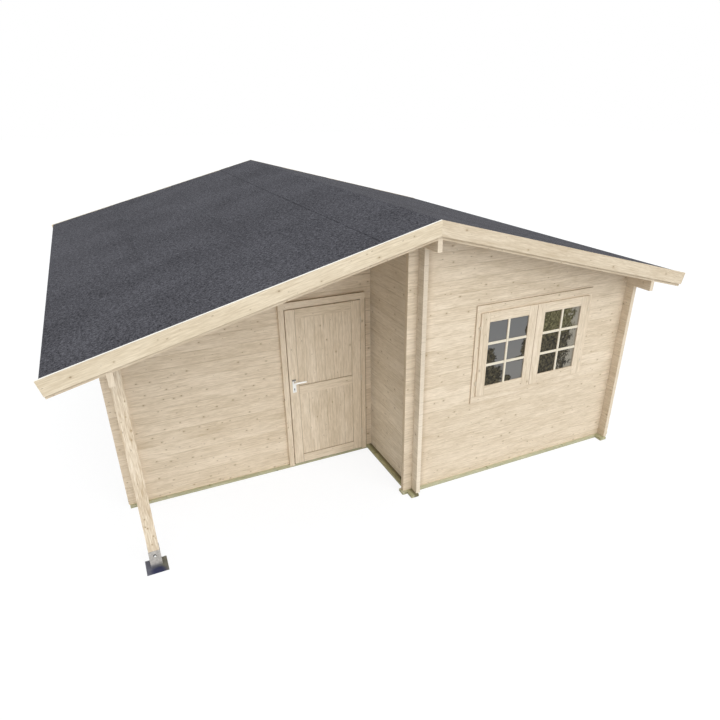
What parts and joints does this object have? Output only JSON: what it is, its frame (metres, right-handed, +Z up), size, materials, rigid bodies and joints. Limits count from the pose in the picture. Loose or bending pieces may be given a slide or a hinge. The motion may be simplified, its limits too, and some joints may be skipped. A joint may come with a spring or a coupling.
{
  "type": "log cabin with corner porch",
  "caption": "Log cabin with a low felt gable roof, a covered corner porch on a post, a hinged wooden door with a lever handle and a two-sash window.",
  "frame": {"origin": "on the ground under the ridge, halfway along the roof", "axes": "+X along the front to the right, -Y out of the porch front, +Z up"},
  "size_m": [6.112, 5.93, 2.839],
  "materials": {
    "logs": "planed spruce",
    "planed_wood": "planed spruce",
    "joinery": "planed spruce",
    "treated": "pressure treated",
    "felt": "granulated",
    "galvanised_steel": "galvanised",
    "handle_metal": "satin",
    "glass": "clear"
  },
  "bodies": {
    "house": {"cross_beams": "treated", "side_beams": "treated", "floor_joists": "treated", "left_wall": "logs", "right_wall": "logs", "back_wall": "logs", "front_wall": "logs", "porch_side_wall": "logs", "recess_wall_left": "logs", "recess_wall_right": "logs", "recess_wall_top": "logs", "left_purlin": "planed_wood", "right_purlin": "planed_wood", "ridge_purlin": "planed_wood", "porch_post": "planed_wood", "roof_deck_left": "planed_wood", "roof_deck_right": "planed_wood", "floor_left": "planed_wood", "floor_right": "planed_wood", "gable_board_front_left": "planed_wood", "gable_board_front_right": "planed_wood", "gable_board_back_left": "planed_wood", "gable_board_back_right": "planed_wood", "inner_gable_boards_front": "planed_wood", "inner_gable_boards_back": "planed_wood", "door_jambs": "joinery", "door_head_and_sill": "joinery", "door_side_trim": "joinery", "door_top_trim": "joinery", "window_frame": "joinery", "window_trim": "joinery", "left_sash": "joinery", "right_sash": "joinery", "roof_felt_left": "felt", "roof_felt_right": "felt", "ridge_felt": "felt", "post_foot": "galvanised_steel", "hinge_pins": "galvanised_steel", "window_hinges": "galvanised_steel", "window_glass": "glass"},
    "door": {"door_leaf": "joinery", "door_panels": "joinery", "door_handle_plates": "handle_metal", "hinge_knuckles": "galvanised_steel"},
    "lever": {"door_lever": "handle_metal"}
  },
  "joints": [
    {"name": "door_hinge", "type": "hinge", "parent": "house", "child": "door", "pos_m": [-0.154, -1.68, 0.94], "axis": [0, 0, 1], "range_deg": [0, 90]},
    {"name": "lever_turn", "type": "hinge", "parent": "door", "child": "lever", "pos_m": [-0.929, -1.665, 1.052], "axis": [0, 1, 0], "range_deg": [0, 40], "stiffness_Nm_per_rad": 4, "springref_deg": -14.32}
  ]
}
